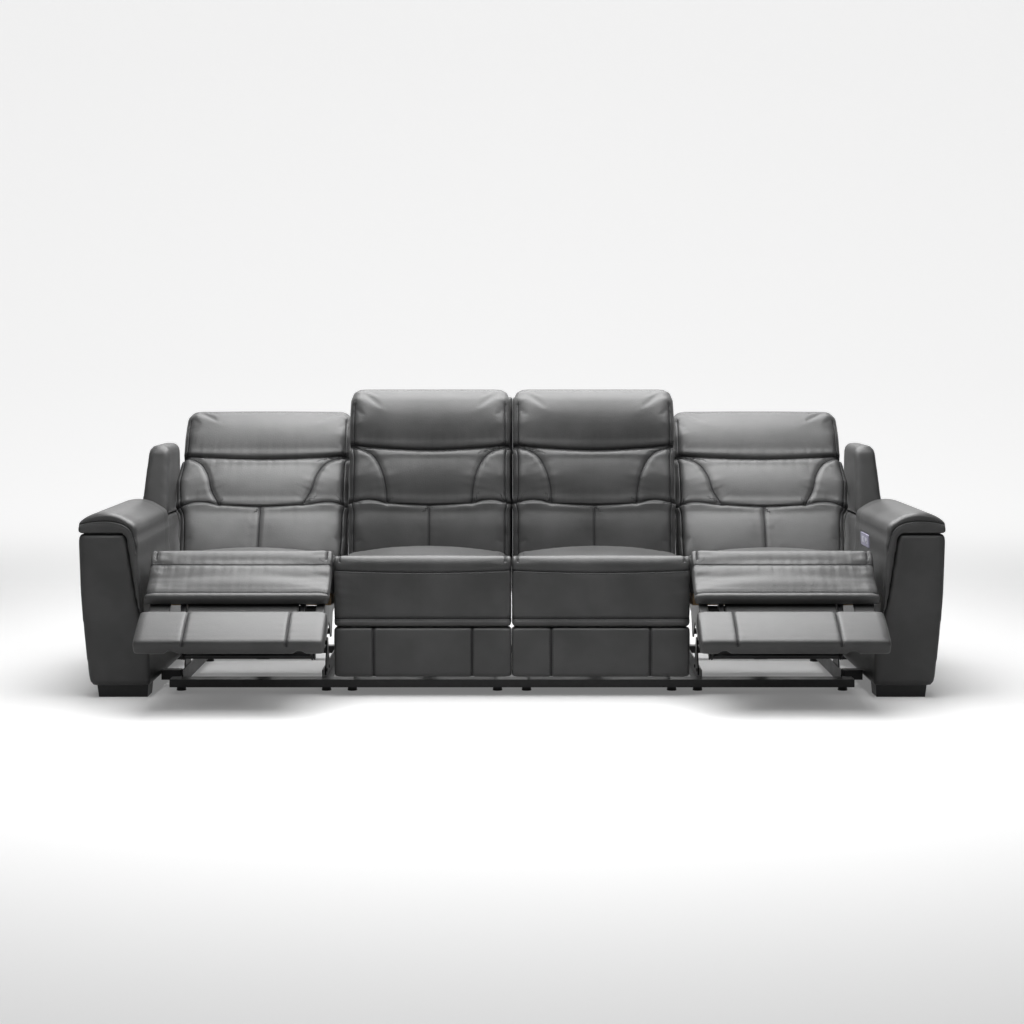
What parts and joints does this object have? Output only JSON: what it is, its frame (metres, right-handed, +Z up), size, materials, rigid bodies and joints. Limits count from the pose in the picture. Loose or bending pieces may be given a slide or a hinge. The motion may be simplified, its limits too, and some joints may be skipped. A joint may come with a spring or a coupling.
{
  "type": "reclining sofa",
  "caption": "Power reclining sofa in dark leather: seats in a row between padded arms, each with a reclining back and a folding, sliding leg rest on a steel linkage driven by a motor.",
  "frame": {"origin": "on the floor, under the middle of the sofa's bounding box as it stands at rest: end seats open, middle seats closed", "axes": "+X along the row of seats, towards the arm with the control plate; the sitter faces -Y; +Z up"},
  "size_m": [2.9034, 1.4071, 1.0243],
  "materials": {
    "leather": "satin",
    "deck_wood": "matte",
    "foot_plastic": "satin",
    "plate_plastic": "satin",
    "button_plastic": "satin",
    "bare_steel": "satin",
    "drive_black": "satin",
    "black_steel": "satin"
  },
  "bodies": {
    "root": {"arms": "leather", "arm_pads": "leather", "wings": "leather", "base_frame": "black_steel", "feet": "foot_plastic", "control_plate": "plate_plastic"},
    "seat_1": {"seat_1_cushion": "leather", "seat_1_deck": "deck_wood", "seat_1_side_plates": "black_steel"},
    "back_1": {"back_1_cushion": "leather", "back_1_shell": "leather"},
    "chaise_1": {"chaise_1_pad": "leather", "chaise_1_rails": "black_steel"},
    "footrest_1": {"footrest_1_pad": "leather", "footrest_1_brackets": "black_steel"},
    "rear_links_1": {"rear_links_1": "black_steel"},
    "front_links_1": {"front_links_1": "black_steel"},
    "actuator_1": {"actuator_1": "drive_black"},
    "drive_rod_1": {"drive_rod_1": "bare_steel"},
    "seat_2": {"seat_2_cushion": "leather", "seat_2_deck": "deck_wood", "seat_2_side_plates": "black_steel"},
    "back_2": {"back_2_cushion": "leather", "back_2_shell": "leather"},
    "chaise_2": {"chaise_2_pad": "leather", "chaise_2_rails": "black_steel"},
    "footrest_2": {"footrest_2_pad": "leather", "footrest_2_brackets": "black_steel"},
    "rear_links_2": {"rear_links_2": "black_steel"},
    "front_links_2": {"front_links_2": "black_steel"},
    "actuator_2": {"actuator_2": "drive_black"},
    "drive_rod_2": {"drive_rod_2": "bare_steel"},
    "seat_3": {"seat_3_cushion": "leather", "seat_3_deck": "deck_wood", "seat_3_side_plates": "black_steel"},
    "back_3": {"back_3_cushion": "leather", "back_3_shell": "leather"},
    "chaise_3": {"chaise_3_pad": "leather", "chaise_3_rails": "black_steel"},
    "footrest_3": {"footrest_3_pad": "leather", "footrest_3_brackets": "black_steel"},
    "rear_links_3": {"rear_links_3": "black_steel"},
    "front_links_3": {"front_links_3": "black_steel"},
    "actuator_3": {"actuator_3": "drive_black"},
    "drive_rod_3": {"drive_rod_3": "bare_steel"},
    "seat_4": {"seat_4_cushion": "leather", "seat_4_deck": "deck_wood", "seat_4_side_plates": "black_steel"},
    "back_4": {"back_4_cushion": "leather", "back_4_shell": "leather"},
    "chaise_4": {"chaise_4_pad": "leather", "chaise_4_rails": "black_steel"},
    "footrest_4": {"footrest_4_pad": "leather", "footrest_4_brackets": "black_steel"},
    "rear_links_4": {"rear_links_4": "black_steel"},
    "front_links_4": {"front_links_4": "black_steel"},
    "actuator_4": {"actuator_4": "drive_black"},
    "drive_rod_4": {"drive_rod_4": "bare_steel"},
    "recline_button": {"recline_button": "button_plastic"},
    "return_button": {"return_button": "button_plastic"}
  },
  "joints": [
    {"name": "recline_1", "type": "hinge", "parent": "seat_1", "child": "back_1", "pos_m": [-0.889, 0.28377, 0.26106], "axis": [-1, 0, 0], "range_deg": [-16, 2]},
    {"name": "tilt_1", "type": "hinge", "parent": "root", "child": "seat_1", "pos_m": [-0.889, -0.135, 0.15], "axis": [-1, 0, 0], "range_deg": [-4, 0.5]},
    {"name": "chaise_hinge_1", "type": "hinge", "parent": "seat_1", "child": "chaise_1", "pos_m": [-0.889, -0.33598, 0.4297], "axis": [-1, 0, 0], "range_deg": [-56.03, 7]},
    {"name": "footrest_slide_1", "type": "slide", "parent": "chaise_1", "child": "footrest_1", "axis": [0, -0.866, -0.5], "range_m": [-0.07004, 0.00875]},
    {"name": "rear_link_pivot_1", "type": "hinge", "parent": "seat_1", "child": "rear_links_1", "pos_m": [-0.889, -0.22708, 0.26671], "axis": [-1, 0, 0], "range_deg": [-93.93, 11.74]},
    {"name": "knee_1", "type": "hinge", "parent": "rear_links_1", "child": "front_links_1", "pos_m": [-0.889, -0.36841, 0.13971], "axis": [-1, 0, 0], "range_deg": [-10.63, 85.05]},
    {"name": "drive_pivot_1", "type": "hinge", "parent": "seat_1", "child": "actuator_1", "pos_m": [-0.889, 0.12576, 0.15182], "axis": [-1, 0, 0], "range_deg": [-0.33, 2.62]},
    {"name": "drive_rod_slide_1", "type": "slide", "parent": "actuator_1", "child": "drive_rod_1", "axis": [0, -0.9828, 0.1849], "range_m": [-0.08618, 0.01077]},
    {"name": "recline_2", "type": "hinge", "parent": "seat_2", "child": "back_2", "pos_m": [-0.3, 0.275, 0.29], "axis": [-1, 0, 0], "range_deg": [0, 18]},
    {"name": "tilt_2", "type": "hinge", "parent": "root", "child": "seat_2", "pos_m": [-0.3, -0.135, 0.15], "axis": [-1, 0, 0], "range_deg": [0, 4.5]},
    {"name": "chaise_hinge_2", "type": "hinge", "parent": "seat_2", "child": "chaise_2", "pos_m": [-0.3, -0.355, 0.415], "axis": [-1, 0, 0], "range_deg": [0, 63.03]},
    {"name": "footrest_slide_2", "type": "slide", "parent": "chaise_2", "child": "footrest_2", "axis": [0, 0, -1], "range_m": [0, 0.07879]},
    {"name": "rear_link_pivot_2", "type": "hinge", "parent": "seat_2", "child": "rear_links_2", "pos_m": [-0.3, -0.235, 0.26], "axis": [-1, 0, 0], "range_deg": [0, 105.67]},
    {"name": "knee_2", "type": "hinge", "parent": "rear_links_2", "child": "front_links_2", "pos_m": [-0.3, -0.08983, 0.13742], "axis": [-1, 0, 0], "range_deg": [-95.68, 0]},
    {"name": "drive_pivot_2", "type": "hinge", "parent": "seat_2", "child": "actuator_2", "pos_m": [-0.3, 0.125, 0.17], "axis": [-1, 0, 0], "range_deg": [-2.95, 0]},
    {"name": "drive_rod_slide_2", "type": "slide", "parent": "actuator_2", "child": "drive_rod_2", "axis": [0, -0.9869, 0.1611], "range_m": [0, 0.09695]},
    {"name": "recline_3", "type": "hinge", "parent": "seat_3", "child": "back_3", "pos_m": [0.3, 0.275, 0.29], "axis": [-1, 0, 0], "range_deg": [0, 18]},
    {"name": "tilt_3", "type": "hinge", "parent": "root", "child": "seat_3", "pos_m": [0.3, -0.135, 0.15], "axis": [-1, 0, 0], "range_deg": [0, 4.5]},
    {"name": "chaise_hinge_3", "type": "hinge", "parent": "seat_3", "child": "chaise_3", "pos_m": [0.3, -0.355, 0.415], "axis": [-1, 0, 0], "range_deg": [0, 63.03]},
    {"name": "footrest_slide_3", "type": "slide", "parent": "chaise_3", "child": "footrest_3", "axis": [0, 0, -1], "range_m": [0, 0.07879]},
    {"name": "rear_link_pivot_3", "type": "hinge", "parent": "seat_3", "child": "rear_links_3", "pos_m": [0.3, -0.235, 0.26], "axis": [-1, 0, 0], "range_deg": [0, 105.67]},
    {"name": "knee_3", "type": "hinge", "parent": "rear_links_3", "child": "front_links_3", "pos_m": [0.3, -0.08983, 0.13742], "axis": [-1, 0, 0], "range_deg": [-95.68, 0]},
    {"name": "drive_pivot_3", "type": "hinge", "parent": "seat_3", "child": "actuator_3", "pos_m": [0.3, 0.125, 0.17], "axis": [-1, 0, 0], "range_deg": [-2.95, 0]},
    {"name": "drive_rod_slide_3", "type": "slide", "parent": "actuator_3", "child": "drive_rod_3", "axis": [0, -0.9869, 0.1611], "range_m": [0, 0.09695]},
    {"name": "recline_4", "type": "hinge", "parent": "seat_4", "child": "back_4", "pos_m": [0.889, 0.28377, 0.26106], "axis": [-1, 0, 0], "range_deg": [-16, 2]},
    {"name": "tilt_4", "type": "hinge", "parent": "root", "child": "seat_4", "pos_m": [0.889, -0.135, 0.15], "axis": [-1, 0, 0], "range_deg": [-4, 0.5]},
    {"name": "chaise_hinge_4", "type": "hinge", "parent": "seat_4", "child": "chaise_4", "pos_m": [0.889, -0.33598, 0.4297], "axis": [-1, 0, 0], "range_deg": [-56.03, 7]},
    {"name": "footrest_slide_4", "type": "slide", "parent": "chaise_4", "child": "footrest_4", "axis": [0, -0.866, -0.5], "range_m": [-0.07004, 0.00875]},
    {"name": "rear_link_pivot_4", "type": "hinge", "parent": "seat_4", "child": "rear_links_4", "pos_m": [0.889, -0.22708, 0.26671], "axis": [-1, 0, 0], "range_deg": [-93.93, 11.74]},
    {"name": "knee_4", "type": "hinge", "parent": "rear_links_4", "child": "front_links_4", "pos_m": [0.889, -0.36841, 0.13971], "axis": [-1, 0, 0], "range_deg": [-10.63, 85.05]},
    {"name": "drive_pivot_4", "type": "hinge", "parent": "seat_4", "child": "actuator_4", "pos_m": [0.889, 0.12576, 0.15182], "axis": [-1, 0, 0], "range_deg": [-0.33, 2.62]},
    {"name": "drive_rod_slide_4", "type": "slide", "parent": "actuator_4", "child": "drive_rod_4", "axis": [0, -0.9828, 0.1849], "range_m": [-0.08618, 0.01077]},
    {"name": "recline_button_travel", "type": "slide", "parent": "root", "child": "recline_button", "axis": [0.997, 0, 0.0772], "range_m": [0, 0.0015], "stiffness_N_per_m": 600},
    {"name": "return_button_travel", "type": "slide", "parent": "root", "child": "return_button", "axis": [0.997, 0, 0.0772], "range_m": [0, 0.0015], "stiffness_N_per_m": 600}
  ],
  "couplings": [
    {"joint": "tilt_1", "follows": "recline_1", "ratio": 0.25},
    {"joint": "chaise_hinge_1", "follows": "recline_1", "ratio": 3.5},
    {"joint": "rear_link_pivot_1", "follows": "recline_1", "ratio": 5.8674},
    {"joint": "knee_1", "follows": "recline_1", "ratio": -5.313},
    {"joint": "drive_pivot_1", "follows": "recline_1", "ratio": -0.16351},
    {"joint": "footrest_slide_1", "follows": "recline_1", "m_per_rad": 0.25067},
    {"joint": "drive_rod_slide_1", "follows": "recline_1", "m_per_rad": 0.30844},
    {"joint": "tilt_2", "follows": "recline_2", "ratio": 0.25},
    {"joint": "chaise_hinge_2", "follows": "recline_2", "ratio": 3.5},
    {"joint": "rear_link_pivot_2", "follows": "recline_2", "ratio": 5.8674},
    {"joint": "knee_2", "follows": "recline_2", "ratio": -5.313},
    {"joint": "drive_pivot_2", "follows": "recline_2", "ratio": -0.16351},
    {"joint": "footrest_slide_2", "follows": "recline_2", "m_per_rad": 0.25067},
    {"joint": "drive_rod_slide_2", "follows": "recline_2", "m_per_rad": 0.30844},
    {"joint": "tilt_3", "follows": "recline_3", "ratio": 0.25},
    {"joint": "chaise_hinge_3", "follows": "recline_3", "ratio": 3.5},
    {"joint": "rear_link_pivot_3", "follows": "recline_3", "ratio": 5.8674},
    {"joint": "knee_3", "follows": "recline_3", "ratio": -5.313},
    {"joint": "drive_pivot_3", "follows": "recline_3", "ratio": -0.16351},
    {"joint": "footrest_slide_3", "follows": "recline_3", "m_per_rad": 0.25067},
    {"joint": "drive_rod_slide_3", "follows": "recline_3", "m_per_rad": 0.30844},
    {"joint": "tilt_4", "follows": "recline_4", "ratio": 0.25},
    {"joint": "chaise_hinge_4", "follows": "recline_4", "ratio": 3.5},
    {"joint": "rear_link_pivot_4", "follows": "recline_4", "ratio": 5.8674},
    {"joint": "knee_4", "follows": "recline_4", "ratio": -5.313},
    {"joint": "drive_pivot_4", "follows": "recline_4", "ratio": -0.16351},
    {"joint": "footrest_slide_4", "follows": "recline_4", "m_per_rad": 0.25067},
    {"joint": "drive_rod_slide_4", "follows": "recline_4", "m_per_rad": 0.30844}
  ]
}
